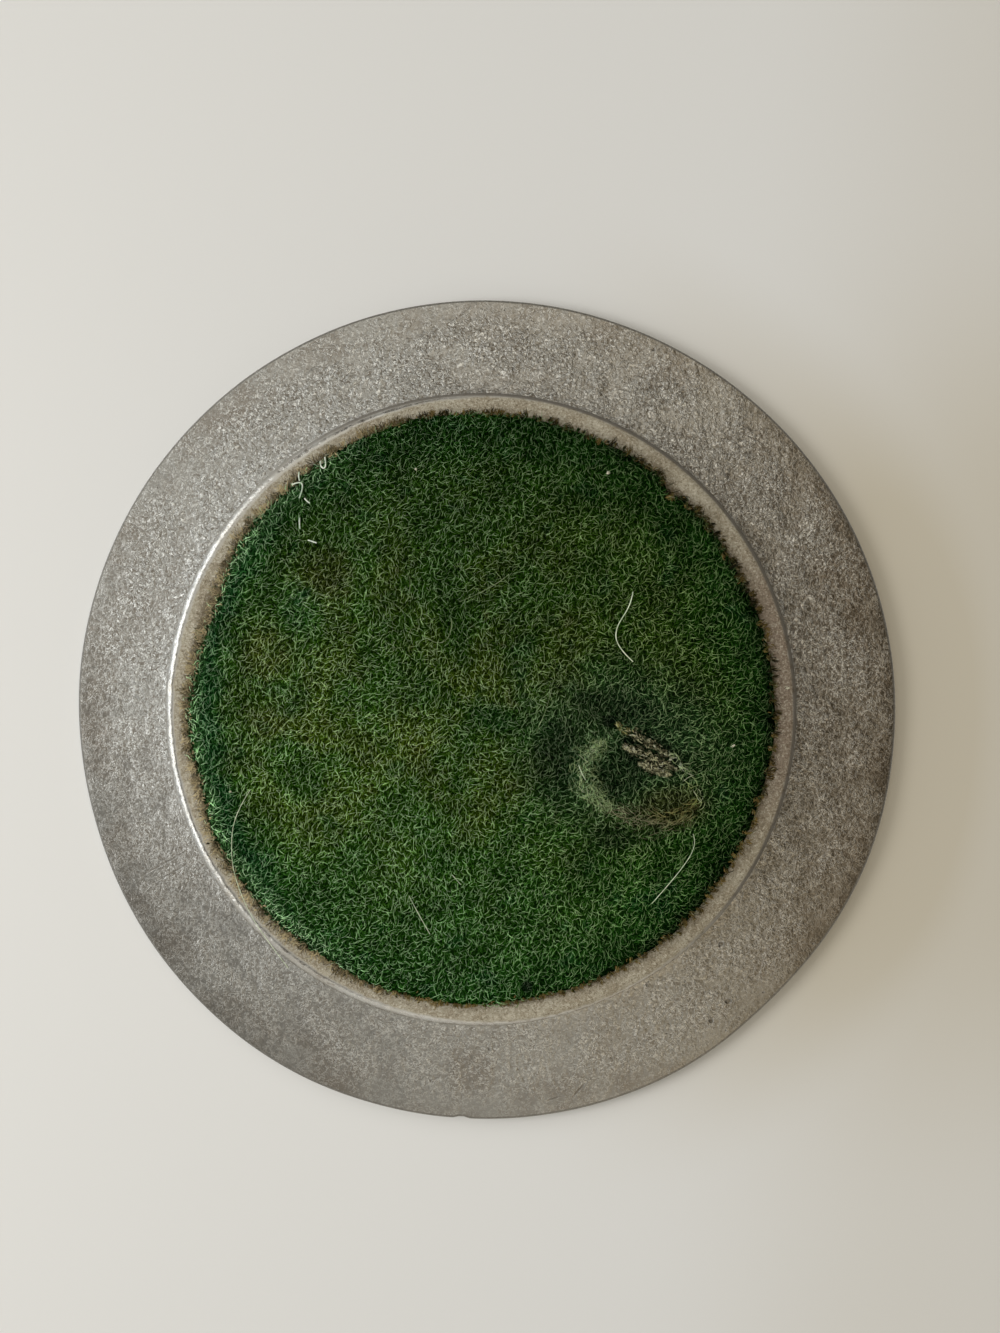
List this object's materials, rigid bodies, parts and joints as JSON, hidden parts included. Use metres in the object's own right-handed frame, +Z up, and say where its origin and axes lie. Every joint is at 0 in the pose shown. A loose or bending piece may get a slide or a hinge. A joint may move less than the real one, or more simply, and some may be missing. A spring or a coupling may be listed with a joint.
{
  "type": "wine bottle coaster",
  "caption": "Shallow round cast-metal dish with a wide flared flange and a stepped foot on a glued felt pad, to stand a wine bottle on.",
  "frame": {"origin": "centre of the felt pad's underside, on the table that the coaster stands on", "axes": "+Z up along the dish's axis, out of the bottle well; the dish is round, so +X and +Y are any two level directions"},
  "size_m": [0.174, 0.174, 0.0154],
  "materials": {
    "cast_alloy": "sand-cast underside, satin top",
    "dried_glue": "dry, dull film with lint in it",
    "green_felt": "worn wool nap"
  },
  "bodies": {
    "root": {"cast_dish": "cast_alloy", "glue_film": "dried_glue", "felt_pad": "green_felt"}
  },
  "joints": []
}
